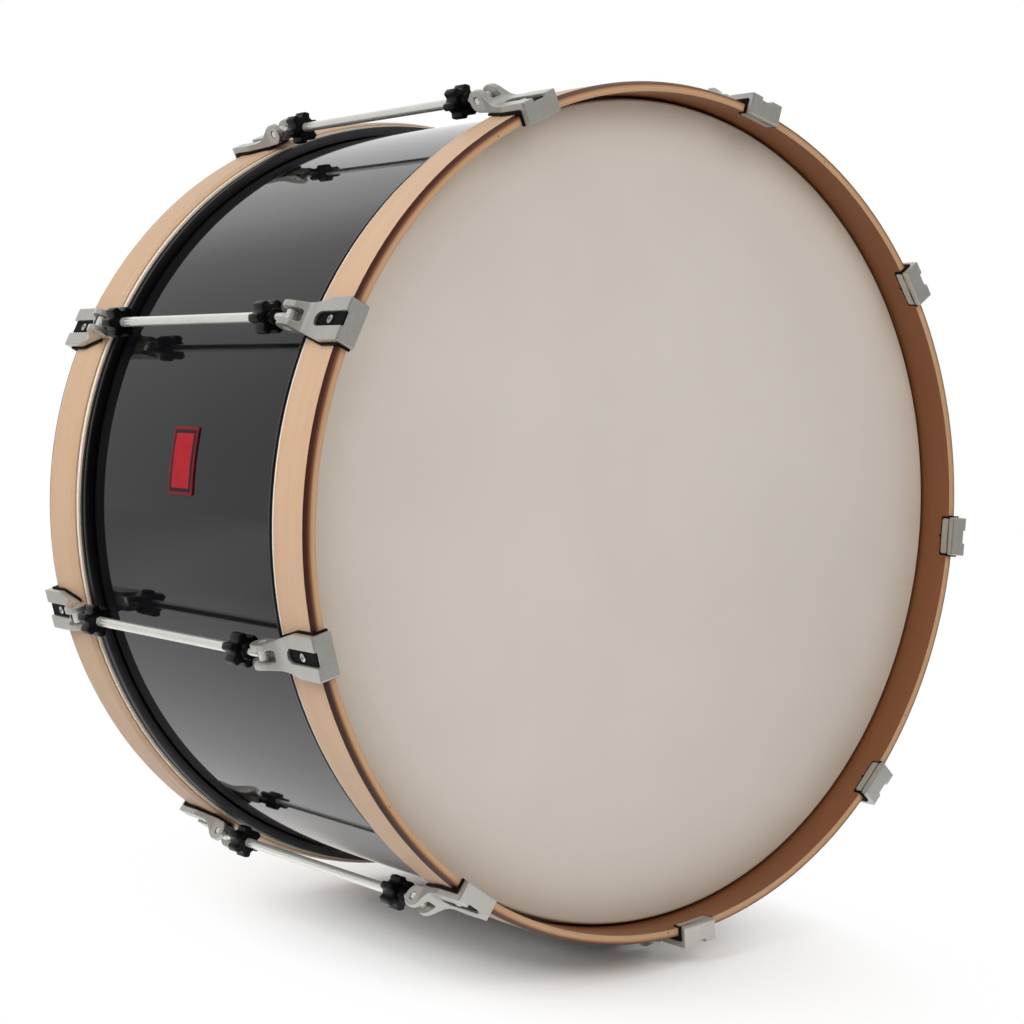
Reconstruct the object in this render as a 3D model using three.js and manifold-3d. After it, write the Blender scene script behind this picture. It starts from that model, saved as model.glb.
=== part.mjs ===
// Marching bass drum: shell, two heads, two wooden hoops and nine tension rods with claws and star knobs.
// Frame: millimetres, +Z up, the drum's axis along Y, the front head towards -Y.
// Angles run clockwise from the top as seen from the front. "Depth" is the distance behind a hoop's outer face.
import * as THREE from "three";
import { mergeVertices } from "three/addons/utils/BufferGeometryUtils.js";
import Module from "manifold-3d";

const wasm = await Module();
wasm.setup();

// Overall sizes
const SHELL_RADIUS = 330.2;
const OVERALL_WIDTH = 408;
const ROD_COUNT = 9;
const FIRST_ROD_DEG = 15.67;
const FIT_GAP = 0.3;

// Shell
const SHELL_WALL = 6.5;
const EDGE_BEVEL = 3;
const RING_WALL = 5;
const RING_WIDTH = 38;

// Heads and flesh hoops
const HEAD_DEPTH = 30;
const FILM_THICKNESS = 0.8;
const COLLAR_CLEARANCE = 2.2;
const SHOULDER_RADIUS = 2;
const FLANGE_THICKNESS = 3.5;
const FLANGE_SETBACK = 3.3;
const FLESH_HOOP_WALL = 8;
const FLESH_HOOP_WIDTH = 8.5;
const FLESH_HOOP_BEVEL = 1.2;
const FLESH_HOOP_SETBACK = 5;

// Wooden hoops
const HOOP_SLACK = 2.6;
const HOOP_WALL = 8.5;
const HOOP_WIDTH = 47;
const HOOP_EDGE_ALONG = 5.5;
const HOOP_EDGE_ACROSS = 2;
const HOOP_EASING = 1;

// Tension rods
const ROD_OFFSET = 11.9;
const BAR_RADIUS = 4;
const STUD_RADIUS = 2.9;
const PIN_RADIUS = 3;
const PIN_SETBACK = 9;
const PIN_RECESS = 0.6;

// Claws
const CLAW_WIDTH = 34;
const LIP_THICKNESS = 6.4;
const LIP_REACH = 1.6;
const PLATE_HEIGHT = 7.6;
const LINER_THICKNESS = 1.8;
const LINER_END_SETBACK = 2.5;
const EAR_RADIUS = 8.8;
const EAR_THICKNESS = 4.8;
const EAR_GAP = 9.6;
const PIN_CLEARANCE = 0.4;
const SHOULDER_SETBACK = 36;
const NECK_SETBACK = 8;
const CLAW_SADDLE_SETBACK = 26;
const FORK_SETBACK = 14.8;
const WINDOW_WIDTH = 11.5;
const WINDOW_END_SETBACK = 24.7;
const WINDOW_WALL = 2;
const WINDOW_DEPTH = 2.4;
const NOTCH_DEPTH = 3.1;
const CUT_OVERRUN = 4;

// Star knobs
const KNOB_SETBACK = 32;
const KNOB_THICKNESS = 14;
const KNOB_TIP_RADIUS = 13.5;
const KNOB_VALLEY_RADIUS = 9.8;
const KNOB_HUB_RADIUS = 6.5;
const KNOB_HUB_LENGTH = 6;
const KNOB_LOBES = 6;

// Badge and air vent
const BADGE_DEG = -81.85;
const BADGE_WIDTH = 37.7;
const BADGE_HEIGHT = 54;
const BADGE_THICKNESS = 1.2;
const VENT_DEG = 98.15;
const VENT_RADIUS = 4;
const VENT_WALL = 1.2;
const VENT_FLANGE_RADIUS = 9;
const VENT_FLANGE_THICKNESS = 1.2;

// Facets
const RING_FACETS = 52;
const ROD_FACETS = 10;
const PIN_FACETS = 8;
const EAR_FACETS = 7;
const BADGE_FACETS = 6;
const ARC_FACETS = 3;
const VENT_FACETS = 14;

// Where along one lobe's turn the knob's outline bends, and whether it stands at the tip there
const LOBE_SHARES = [
  [-0.17, 1],
  [0.17, 1],
  [0.36, 0],
  [0.64, 0],
];
// The claw's neck as shares of the way from the shoulder to the ears, and of the narrowing
const NECK_SHARES = [
  [0, 0],
  [0.43, 0.38],
  [0.79, 0.78],
  [1, 1],
];
// The claw's upper edge as shares of the way from the saddle to the pin, and of the rise to the ear's top
const SADDLE_SHARES = [
  [0.83, 0.95],
  [0.66, 0.78],
  [0.36, 0.2],
  [0.15, 0.03],
  [0, 0],
];

// How far each rod stands past its even place round the drum, as a share of the pitch
const ROD_SLIP_SHARES = [0.017, 0.006, -0.0075, -0.008, -0.0125, -0.007, 0.0005, 0.009, 0.016];

// Radii and depths that follow from the sizes above
const collarInner = SHELL_RADIUS + COLLAR_CLEARANCE;
const collarOuter = collarInner + FILM_THICKNESS;
const hoopInner = collarOuter + HOOP_SLACK;
const hoopOuter = hoopInner + HOOP_WALL;
const rodRadius = hoopOuter + ROD_OFFSET;
const pinDepth = HOOP_WIDTH + PIN_SETBACK;
const knobDepth = pinDepth + KNOB_SETBACK;
const filmBackDepth = HEAD_DEPTH + FILM_THICKNESS;
const halfShell = OVERALL_WIDTH / 2 - filmBackDepth - FIT_GAP;
const fleshDepth = HOOP_WIDTH + FIT_GAP + FLANGE_THICKNESS + FIT_GAP;
const plateTop = hoopOuter + PLATE_HEIGHT;

const COLOURS = {
  shell: { color: 0x0d0d0f, roughness: 0.08, metalness: 0 },
  ring: { color: 0xc39c6b, roughness: 0.6, metalness: 0 },
  film: { color: 0xd8d0c2, roughness: 0.55, metalness: 0 },
  flesh: { color: 0x55565a, roughness: 0.4, metalness: 1 },
  hoop: { color: 0xcda47c, roughness: 0.35, metalness: 0 },
  bar: { color: 0xd9dad8, roughness: 0.2, metalness: 1 },
  claw: { color: 0xb4b4ac, roughness: 0.38, metalness: 1 },
  knob: { color: 0x0b0b0c, roughness: 0.45, metalness: 0 },
  badge: { color: 0x7c1c22, roughness: 0.3, metalness: 0 },
  vent: { color: 0xc9cac8, roughness: 0.25, metalness: 1 },
};

const radians = (degrees) => THREE.MathUtils.degToRad(degrees);

function material(name) {
  return new THREE.MeshStandardMaterial(COLOURS[name]);
}

function named(geometry, look, name) {
  const mesh = new THREE.Mesh(geometry, material(look));
  mesh.name = name;
  return mesh;
}

// Signed area of a closed outline, positive when it runs anticlockwise
function signedArea(outline) {
  return outline.reduce((sum, [x, y], i) => {
    const [nextX, nextY] = outline[(i + 1) % outline.length];
    return sum + (x * nextY - nextX * y) / 2;
  }, 0);
}

// Turns a closed outline of [radius, along] about the Y axis
function turned(outline, facets, startAngle) {
  const ordered = signedArea(outline) > 0 ? outline : [...outline].reverse();
  const points = [...ordered, ordered[0]].map(([x, y]) => new THREE.Vector2(x, y));
  return new THREE.LatheGeometry(points, facets, startAngle, Math.PI * 2);
}

// A ring of the drum, with flats facing straight up, down and sideways
function drumRing(outline) {
  return turned(outline, RING_FACETS, Math.PI / RING_FACETS);
}

function extruded(outline, thickness) {
  const shape = new THREE.Shape(outline.map(([x, y]) => new THREE.Vector2(x, y)));
  const geometry = new THREE.ExtrudeGeometry(shape, { depth: thickness, bevelEnabled: false });
  return geometry.translate(0, 0, -thickness / 2);
}

function cylinder(radius, length, facets) {
  return new THREE.CylinderGeometry(radius, radius, length, facets);
}

function block(sizeX, sizeY, sizeZ, x, y, z) {
  return new THREE.BoxGeometry(sizeX, sizeY, sizeZ).translate(x, y, z);
}

function arc(centreX, centreY, radius, fromDeg, toDeg, steps) {
  return Array.from({ length: steps + 1 }, (_, i) => {
    const angle = radians(fromDeg + ((toDeg - fromDeg) * i) / steps);
    return [centreX + radius * Math.cos(angle), centreY + radius * Math.sin(angle)];
  });
}

function toSolid(geometry) {
  const plain = new THREE.BufferGeometry();
  const source = geometry.index ? geometry.toNonIndexed() : geometry;
  plain.setAttribute("position", source.getAttribute("position").clone());
  const merged = mergeVertices(plain, 1e-4);
  return new wasm.Manifold(
    new wasm.Mesh({
      numProp: 3,
      vertProperties: merged.attributes.position.array,
      triVerts: new Uint32Array(merged.index.array),
    }),
  );
}

function toGeometry(solid) {
  const mesh = solid.getMesh();
  const geometry = new THREE.BufferGeometry();
  geometry.setAttribute("position", new THREE.BufferAttribute(mesh.vertProperties, 3));
  geometry.setIndex(new THREE.BufferAttribute(mesh.triVerts, 1));
  geometry.computeVertexNormals();
  return geometry;
}

function joined(geometries) {
  return geometries.map(toSolid).reduce((whole, piece) => whole.add(piece));
}

function cutBy(solid, cutters) {
  return cutters.map(toSolid).reduce((left, cutter) => left.subtract(cutter), solid);
}

// Front copies stand as drawn, rear copies are turned half round about the vertical
function atEnd(geometry, end) {
  return end === "front" ? geometry : geometry.clone().rotateZ(Math.PI);
}

function placedAt(mesh, degrees) {
  mesh.rotation.y = radians(degrees);
  return mesh;
}

// The Y position of a depth behind the front hoop's outer face
const frontY = (depth) => depth - OVERALL_WIDTH / 2;

function rodAngle(index) {
  const pitch = 360 / ROD_COUNT;
  const slip = ROD_SLIP_SHARES[index % ROD_SLIP_SHARES.length];
  return FIRST_ROD_DEG + pitch * (index + slip);
}

// Shell with its bearing edges and the hole for the air vent
function shell() {
  const inner = SHELL_RADIUS - SHELL_WALL;
  const crest = SHELL_RADIUS - SHELL_WALL / 2;
  const flank = halfShell - EDGE_BEVEL;
  const tube = drumRing([
    [SHELL_RADIUS, -flank],
    [SHELL_RADIUS, flank],
    [crest, halfShell],
    [inner, flank],
    [inner, -flank],
    [crest, -halfShell],
  ]);
  const hole = cylinder(VENT_RADIUS + VENT_WALL + FIT_GAP, 2 * (SHELL_WALL + CUT_OVERRUN), VENT_FACETS);
  hole.rotateX(Math.PI / 2).translate(0, 0, SHELL_RADIUS).rotateY(radians(VENT_DEG));
  return named(toGeometry(cutBy(toSolid(tube), [hole])), "shell", "shell");
}

// Thin wooden ring that stiffens the shell just inside a bearing edge
function reinforcementRing(end) {
  const outer = SHELL_RADIUS - SHELL_WALL - FIT_GAP;
  const edge = halfShell - EDGE_BEVEL;
  const ring = drumRing([
    [outer, -edge],
    [outer, RING_WIDTH - edge],
    [outer - RING_WALL, RING_WIDTH - edge],
    [outer - RING_WALL, -edge],
  ]);
  return named(atEnd(ring, end), "ring", "reinforcement_ring_" + end);
}

// Head film: the playing face, the collar over the bearing edge and the flange under the wooden hoop
function head(end) {
  const face = frontY(HEAD_DEPTH);
  const back = frontY(filmBackDepth);
  const flangeFront = frontY(HOOP_WIDTH + FIT_GAP);
  const flangeBack = flangeFront + FLANGE_THICKNESS;
  const flangeOuter = hoopOuter - FLANGE_SETBACK;
  const outline = [
    [0, face],
    [0, back],
    [collarInner - SHOULDER_RADIUS, back],
    [collarInner, back + SHOULDER_RADIUS],
    [collarInner, flangeBack],
    [flangeOuter, flangeBack],
    [flangeOuter, flangeFront],
    [collarOuter, flangeFront],
    [collarOuter, face + SHOULDER_RADIUS],
    [collarOuter - SHOULDER_RADIUS, face],
  ];
  return named(atEnd(drumRing(outline), end), "film", "head_" + end);
}

// Metal ring that grips the film's flange
function fleshHoop(end) {
  const start = frontY(fleshDepth);
  const finish = start + FLESH_HOOP_WIDTH;
  const outer = hoopOuter - FLESH_HOOP_SETBACK;
  const ring = drumRing([
    [outer, start],
    [outer, finish - FLESH_HOOP_BEVEL],
    [outer - FLESH_HOOP_BEVEL, finish],
    [outer - FLESH_HOOP_WALL, finish],
    [outer - FLESH_HOOP_WALL, start],
  ]);
  return named(atEnd(ring, end), "flesh", "flesh_hoop_" + end);
}

// Wooden hoop: both outer edges sloped, the inner front edge eased
function hoop(end) {
  const front = frontY(0);
  const back = frontY(HOOP_WIDTH);
  const ring = drumRing([
    [hoopOuter - HOOP_EDGE_ACROSS, front],
    [hoopOuter, front + HOOP_EDGE_ALONG],
    [hoopOuter, back - HOOP_EDGE_ALONG],
    [hoopOuter - HOOP_EDGE_ACROSS, back],
    [hoopInner, back],
    [hoopInner, front + HOOP_EASING],
    [hoopInner + HOOP_EASING, front],
  ]);
  return named(atEnd(ring, end), "hoop", "hoop_" + end);
}

// Tension rod: bar, threaded studs and the cross pins that the claws swing on
function rod(index) {
  const pinLength = EAR_GAP + 2 * EAR_THICKNESS - 2 * PIN_RECESS;
  const pinY = frontY(pinDepth);
  const barStart = frontY(knobDepth + KNOB_THICKNESS / 2 + FIT_GAP);
  const bar = cylinder(BAR_RADIUS, -2 * barStart, ROD_FACETS);
  const stud = cylinder(STUD_RADIUS, -2 * pinY, ROD_FACETS);
  const pin = cylinder(PIN_RADIUS, pinLength, PIN_FACETS).rotateZ(Math.PI / 2);
  const frontPin = pin.clone().translate(0, pinY, 0);
  const rearPin = pin.clone().translate(0, -pinY, 0);
  const geometry = toGeometry(joined([bar, stud, frontPin, rearPin]));
  geometry.translate(0, 0, rodRadius);
  return placedAt(named(geometry, "bar", "rod_" + (index + 1)), rodAngle(index));
}

// Side view of the claw as [depth, radius], from the lip's inner edge round to its front face
function clawSide() {
  const earTop = rodRadius + EAR_RADIUS;
  const saddle = pinDepth - CLAW_SADDLE_SETBACK;
  const ear = arc(pinDepth, rodRadius, EAR_RADIUS, -90, 90, EAR_FACETS);
  const upperEdge = SADDLE_SHARES.map(([along, rise]) => [
    saddle + CLAW_SADDLE_SETBACK * along,
    plateTop + (earTop - plateTop) * rise,
  ]);
  return [
    [-LIP_THICKNESS - FIT_GAP, hoopInner - LIP_REACH],
    [-FIT_GAP, hoopInner - LIP_REACH],
    [-FIT_GAP, hoopOuter + FIT_GAP],
    [HOOP_WIDTH - LINER_END_SETBACK, hoopOuter + FIT_GAP],
    [HOOP_WIDTH - LINER_END_SETBACK, hoopOuter + FIT_GAP + LINER_THICKNESS],
    ...ear,
    ...upperEdge,
    [-LIP_THICKNESS - FIT_GAP, plateTop],
  ];
}

// Plan view of the claw as [across, depth]: wide at the lip, narrow at the ears
function clawPlan() {
  const wide = CLAW_WIDTH / 2;
  const narrow = EAR_GAP / 2 + EAR_THICKNESS;
  const shoulder = pinDepth - SHOULDER_SETBACK;
  const neckLength = SHOULDER_SETBACK - NECK_SETBACK;
  const side = NECK_SHARES.map(([along, narrowing]) => [
    wide - (wide - narrow) * narrowing,
    shoulder + neckLength * along,
  ]);
  const tip = pinDepth + EAR_RADIUS + CUT_OVERRUN;
  const start = -LIP_THICKNESS - CUT_OVERRUN;
  const rightSide = [[wide, start], ...side, [narrow, tip]];
  const leftSide = rightSide.map(([across, depth]) => [-across, depth]).reverse();
  return [...rightSide, ...leftSide];
}

// Outline of the window over the liner, round towards the ears, as [across, depth]
function windowPlan() {
  const half = WINDOW_WIDTH / 2;
  const end = pinDepth - WINDOW_END_SETBACK - half;
  return [[half, WINDOW_WALL - LIP_THICKNESS], ...arc(0, end, half, 0, 180, 2 * ARC_FACETS),
    [-half, WINDOW_WALL - LIP_THICKNESS]];
}

// One front claw at the top of the drum, still measured in depth along Y
function clawGeometry() {
  const tall = plateTop + EAR_RADIUS + ROD_OFFSET;
  // The side view lies in the depth and radius plane, so the cyclic turn keeps it facing out
  const sides = extruded(clawSide(), CLAW_WIDTH + CUT_OVERRUN);
  sides.applyMatrix4(new THREE.Matrix4().set(0, 0, 1, 0, 1, 0, 0, 0, 0, 1, 0, 0, 0, 0, 0, 1));
  const plan = extruded(clawPlan(), tall).translate(0, 0, tall);
  const forkStart = pinDepth - FORK_SETBACK;
  const forkLength = FORK_SETBACK + EAR_RADIUS + CUT_OVERRUN;
  const fork = block(EAR_GAP, forkLength, tall, 0, forkStart + forkLength / 2, tall);
  const floor = plateTop - WINDOW_DEPTH;
  const window = extruded(windowPlan(), tall).translate(0, 0, floor + tall / 2);
  const notchLength = WINDOW_WALL + CUT_OVERRUN;
  const notchY = WINDOW_WALL - LIP_THICKNESS - notchLength / 2 + FIT_GAP;
  const notch = block(WINDOW_WIDTH, notchLength, 2 * NOTCH_DEPTH, 0, notchY, plateTop);
  const pinHole = cylinder(PIN_RADIUS + PIN_CLEARANCE, CLAW_WIDTH, PIN_FACETS).rotateZ(Math.PI / 2);
  pinHole.translate(0, pinDepth, rodRadius);
  const body = toSolid(sides).intersect(toSolid(plan));
  const geometry = toGeometry(cutBy(body, [fork, window, notch, pinHole]));
  return geometry.translate(0, frontY(0), 0);
}

// Outline of the knob's lobes
function knobOutline() {
  const turn = (2 * Math.PI) / KNOB_LOBES;
  return Array.from({ length: KNOB_LOBES }, (_, lobe) =>
    LOBE_SHARES.map(([along, atTip]) => {
      const angle = turn * (lobe + along);
      const radius = atTip ? KNOB_TIP_RADIUS : KNOB_VALLEY_RADIUS;
      return [radius * Math.cos(angle), radius * Math.sin(angle)];
    }),
  ).flat();
}

// One front knob on the top rod, with its hub towards the claw
function knobGeometry() {
  const star = extruded(knobOutline(), KNOB_THICKNESS).rotateX(Math.PI / 2);
  const hubY = -(KNOB_THICKNESS + KNOB_HUB_LENGTH) / 2;
  const hub = cylinder(KNOB_HUB_RADIUS, KNOB_HUB_LENGTH + FIT_GAP, ROD_FACETS).translate(0, hubY, 0);
  const boreLength = 2 * (KNOB_THICKNESS + KNOB_HUB_LENGTH);
  const bore = cylinder(STUD_RADIUS + FIT_GAP, boreLength, ROD_FACETS);
  const geometry = toGeometry(cutBy(joined([star, hub]), [bore]));
  return geometry.translate(0, frontY(knobDepth), rodRadius);
}

// Plain plate that follows the shell's curve
function badge() {
  const inner = SHELL_RADIUS + FIT_GAP;
  const halfDeg = THREE.MathUtils.radToDeg(BADGE_HEIGHT / 2 / inner);
  const outline = [
    ...arc(0, 0, inner + BADGE_THICKNESS, 90 - halfDeg, 90 + halfDeg, BADGE_FACETS),
    ...arc(0, 0, inner, 90 + halfDeg, 90 - halfDeg, BADGE_FACETS),
  ];
  const geometry = extruded(outline, BADGE_WIDTH).rotateX(Math.PI / 2);
  return placedAt(named(geometry, "badge", "badge"), BADGE_DEG);
}

// Metal eyelet through the shell
function ventEyelet() {
  const bore = VENT_RADIUS;
  const tube = VENT_RADIUS + VENT_WALL;
  const seat = SHELL_RADIUS + FIT_GAP;
  const outline = [
    [bore, SHELL_RADIUS - SHELL_WALL],
    [tube, SHELL_RADIUS - SHELL_WALL],
    [tube, seat],
    [VENT_FLANGE_RADIUS, seat],
    [tube, seat + VENT_FLANGE_THICKNESS],
    [bore, seat + VENT_FLANGE_THICKNESS],
  ];
  const geometry = turned(outline, VENT_FACETS, 0).rotateX(Math.PI / 2);
  return placedAt(named(geometry, "vent", "vent_eyelet"), VENT_DEG);
}

// Claws and knobs of one end, one pair per rod
function endFittings(end) {
  const claw = atEnd(clawGeometry(), end);
  const knob = atEnd(knobGeometry(), end);
  return Array.from({ length: ROD_COUNT }, (_, i) => {
    const label = end + "_" + (i + 1);
    return [
      placedAt(named(claw, "claw", "claw_" + label), rodAngle(i)),
      placedAt(named(knob, "knob", "knob_" + label), rodAngle(i)),
    ];
  }).flat();
}

function drum() {
  const group = new THREE.Group();
  group.add(shell(), badge(), ventEyelet());
  for (const end of ["front", "rear"]) {
    group.add(reinforcementRing(end), head(end), fleshHoop(end), hoop(end));
    group.add(...endFittings(end));
  }
  group.add(...Array.from({ length: ROD_COUNT }, (_, i) => rod(i)));
  return group;
}

// The origin lies under the middle of the drum's box, at the height of its lowest knobs
function standing(group) {
  const box = new THREE.Box3().setFromObject(group, true);
  const centre = box.getCenter(new THREE.Vector3());
  group.position.set(-centre.x, -centre.y, -box.min.z);
  const whole = new THREE.Group();
  whole.name = "marching_bass_drum";
  whole.add(group);
  return whole;
}

export default standing(drum());
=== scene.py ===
import math
import random

import bmesh
import bpy
from mathutils import Matrix, Vector


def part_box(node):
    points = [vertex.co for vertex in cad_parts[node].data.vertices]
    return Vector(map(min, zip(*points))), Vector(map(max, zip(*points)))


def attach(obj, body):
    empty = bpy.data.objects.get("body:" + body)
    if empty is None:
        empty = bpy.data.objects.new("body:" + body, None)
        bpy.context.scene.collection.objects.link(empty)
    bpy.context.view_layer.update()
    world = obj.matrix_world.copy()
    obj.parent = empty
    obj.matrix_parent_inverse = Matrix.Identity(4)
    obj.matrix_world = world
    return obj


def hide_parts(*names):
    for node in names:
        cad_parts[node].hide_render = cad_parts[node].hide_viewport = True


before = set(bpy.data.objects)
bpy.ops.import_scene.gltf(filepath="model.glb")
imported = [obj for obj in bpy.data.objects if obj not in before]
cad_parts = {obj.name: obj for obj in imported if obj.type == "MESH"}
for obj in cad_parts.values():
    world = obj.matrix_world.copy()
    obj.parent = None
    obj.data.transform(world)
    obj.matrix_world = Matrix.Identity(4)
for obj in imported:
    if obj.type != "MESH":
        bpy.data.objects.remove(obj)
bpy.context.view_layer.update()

# Looks of a marching bass drum: shell, heads, wooden hoops, tension rods, claws and star knobs.
# Sizes are millimetres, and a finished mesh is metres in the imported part's frame: +Z up, +Y along the
# drum's axis, the front head towards -Y. Angles run clockwise from the top as seen from the front.
# "Depth" is the distance behind a hoop's outer face. A fitting is drawn at the top of the front hoop
# as (across, depth, radius).

# Drum
MM = 0.001
OVERALL_WIDTH = 408
SHELL_RADIUS = 330.2
ROD_COUNT = 9
FIRST_ROD_DEG = 15.67
FIT_GAP = 0.3
ENDS = ("front", "rear")
SHELL_WALL = 6.5
EDGE_BEVEL = 3

# Heads and flesh hoops
HEAD_DEPTH = 30
FILM_THICKNESS = 0.8
COLLAR_CLEARANCE = 2.2
SHOULDER_RADIUS = 2.6
FLANGE_THICKNESS = 3.5
FLANGE_SETBACK = 3.3
FLESH_HOOP_WALL = 8
FLESH_HOOP_WIDTH = 8.5
FLESH_HOOP_SETBACK = 5
FLESH_HOOP_EASING = 1.2
FLESH_GROOVE = 0.9

# Wooden hoops
HOOP_SLACK = 2.6
HOOP_WALL = 8.5
HOOP_WIDTH = 47
HOOP_EDGE_ALONG = 5.5
HOOP_EDGE_ACROSS = 2
HOOP_CREASE = 0.5
HOOP_EASING = 0.8
BRAD_RADIUS = 0.6
BRAD_HEIGHT = 0.12
BRAD_INSET = 2.6
BRAD_COUNT = 5
BRAD_STEP_SHARES = (0.2, 0.8)
BRAD_SEED = 9

# Tension rods
ROD_OFFSET = 11.9
BAR_RADIUS = 4
BAR_CHAMFER = 0.6
STUD_RADIUS = 2.9
THREAD_PITCH = 1.25
THREAD_DEPTH = 0.42
THREAD_STEPS = 4
PIN_RADIUS = 3
PIN_SETBACK = 9
PIN_RECESS = 0.6
PIN_CHAMFER = 0.35
BARREL_RADIUS = 4.3
BARREL_GAP = 0.35

# Claws
CLAW_WIDTH = 34
LIP_THICKNESS = 6.4
LIP_REACH = 1.6
LIP_LINER = 1.7
PLATE_HEIGHT = 7.6
LINER_THICKNESS = 1.8
LINER_END_SETBACK = 2.5
LINER_MARGIN = 1.3
EAR_RADIUS = 8.8
EAR_THICKNESS = 4.8
EAR_GAP = 9.6
SHOULDER_SETBACK = 36
NECK_SETBACK = 8
CLAW_SADDLE_SETBACK = 26
FORK_SETBACK = 14.8
WINDOW_WIDTH = 11.5
WINDOW_END_SETBACK = 24.7
WINDOW_WALL = 2
WINDOW_DEPTH = 2.4
NOTCH_DEPTH = 3.1
CUT_OVERRUN = 4
LIP_ROUNDING = 1.2
SHOULDER_ROUNDING = 8
NECK_ROUNDING = 12
FORK_ROUNDING = 2
CAST_GRAIN = 0.42
CAST_SMOOTHING = 5
CAST_PULL = 0.5
CAST_SHARE = 0.1
FOOT_LENGTH = 6
FOOT_THICKNESS = 0.8
FOOT_LINER = 0.6
FOOT_MARGIN = 2
FOOT_SIDE = 1.5
NUB_RADIUS = 1
NUB_LENGTH = 1.6
TONGUE_GAP = 0.15
SCREW_SETBACK = 42.7
SCREW_RADIUS = 3.3
SCREW_HEIGHT = 1.5
SCREW_CROWN = 0.7
RECESS_LENGTH = 4
RECESS_WIDTH = 1.3

# Star knobs
KNOB_SETBACK = 32
KNOB_THICKNESS = 14
KNOB_TIP_RADIUS = 13.5
KNOB_VALLEY_RADIUS = 9.8
KNOB_HUB_RADIUS = 6.5
KNOB_HUB_LENGTH = 6
KNOB_LOBES = 6
KNOB_TIP_ROUNDING = 1.7
KNOB_EDGE = 1.1
HUB_EDGE = 0.7

# Badge and air vent
BADGE_DEG = -81.85
BADGE_WIDTH = 37.7
BADGE_HEIGHT = 54
BADGE_THICKNESS = 1.2
BADGE_CORNER = 2.4
BADGE_EDGE = 0.3
BADGE_LAYER = 0.12
BADGE_BORDER = 2.6
BADGE_PANEL_MARGIN = 5.4
VENT_DEG = 98.15
VENT_RADIUS = 4
VENT_WALL = 1.2
VENT_FLANGE_RADIUS = 9
VENT_FLANGE_THICKNESS = 1.2

# Mesh detail
RING_SEGMENTS = 192
CORNER_STEPS = 5
EDGE_STEPS = 3
ROUND_SEGMENTS = 28
SMALL_SEGMENTS = 14
EAR_STEPS = 24
BADGE_ROWS = 20
SMOOTH_DEG = 32
MERGE_DISTANCE = 0.001

# Where along one lobe's turn the knob's outline bends, and whether it stands at the tip there
LOBE_SHARES = ((-0.19, 1), (0.19, 1), (0.36, 0), (0.64, 0))
# How far each rod stands past its even place round the drum, as a share of the pitch
ROD_SLIP_SHARES = (0.017, 0.006, -0.0075, -0.008, -0.0125, -0.007, 0.0005, 0.009, 0.016)
# The claw's upper edge as shares of the way from the saddle to the pin, and of the rise to the ear's top
SADDLE_SHARES = ((0.83, 0.95), (0.66, 0.78), (0.5, 0.46), (0.36, 0.2), (0.25, 0.09), (0.15, 0.03), (0, 0))

# Wooden hoops and rings: grain sizes round, along and across the hoop, and how strongly each shows.
# Noise settings are scale, detail and roughness.
BROAD_GRAIN = (170, 14, 5)
STREAK_GRAIN = (150, 1.7, 1.1)
FLECK_GRAIN = (44, 1.3, 1.1)
STREAK_NOISE = (1, 5, 0.65)
FLECK_NOISE = (1, 3, 0.7)
STREAK_SHARE = 0.55
WOOD_RANGE = (0.32, 0.68)
FLECK_LEVELS = ((0.3, 0.86), (0.46, 1.0))
FLECK_STRENGTH = 0.5
PLY_COUNT = 6
PLY_SHIFT = 0.5
PLY_LEVELS = ((0.0, 0.86), (1.0, 1.0))
PLY_STRENGTH = 0.7
GLUE_LEVELS = ((0.0, 0.62), (0.1, 1.0))
GLUE_STRENGTH = 0.55
WOOD_SPREAD = 0.18
WOOD_BUMP = (0.12, 0.15)
WOOD_IOR = 1.36
SEAM_ROD = 4
# Painted shade on a hoop's outer end, from its crease (0) over its sloped edge and end face to its inner
# edge (1): near black at the crease and sloped edge, lighter and warmer over the end face
EDGE_SHADE_TONES = (
    (0.02, (0.045, 0.01, 0.004, 1)), (0.18, (0.08, 0.024, 0.011, 1)), (0.3, (0.38, 0.23, 0.15, 1)),
    (0.48, (0.86, 0.74, 0.62, 1)), (0.7, (1, 0.94, 0.85, 1)), (1, (1, 0.9, 0.78, 1)))
# Tone of a hoop's outer face, and painted shade of its inner wall, to multiply the wood's by
SIDE_TONE = (0.82, 0.82, 0.82, 1)
WALL_SHADE = (0.385, 0.22, 0.14, 1)

# Heads: painted shade, warmed like light bounced off the maple, on the film from a share of the hoop's inner
# radius outwards
FILM_TONES = ((216, 208, 199), (211, 203, 193))
FILM_SHADE_START = 0.86
FILM_RIM_SHADE = (0.96, 0.91, 0.83, 1)
FILM_CLOUD = 0.006
FILM_SPRAY = 1.6
FILM_ROUGHNESS = 0.5
FILM_SPREAD = 0.1
FILM_BUMP = (0.08, 0.05)
FILM_IOR = 1.4

# Lacquer, and the clouds of metal and plastic; clouds and textures are counted per millimetre
LACQUER_TONES = ((19, 19, 21), (15, 15, 17))
LACQUER_HAZE = 0.012
LACQUER_PEEL = (0.09, 2)
LACQUER_ROUGHNESS = 0.03
LACQUER_BUMP = (0.06, 0.1)
LACQUER_IOR = 1.5
METAL_NOISE = (1, 3, 0.6)
METAL_CLOUD = 0.05
METAL_GRAIN_SHARE = 0.7
PLASTIC_CLOUD = 0.08
PLASTIC_DETAIL = 2
PLASTIC_SPREAD = 0.12
# Where a pattern's value gives the dark tone and where the light one
TONE_RANGE = (0.3, 0.7)

# Each wood: name, light and dark tone, roughness, and whether a hoop's faces get their own tones with
# painted shade on its edges and inner wall
WOODS = {
    "maple": ("hoop_maple", (203, 171, 142), (191, 156, 125), 0.32, True),
    "bare_wood": ("bare_wood", (206, 172, 128), (182, 142, 98), 0.5, False),
}
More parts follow.
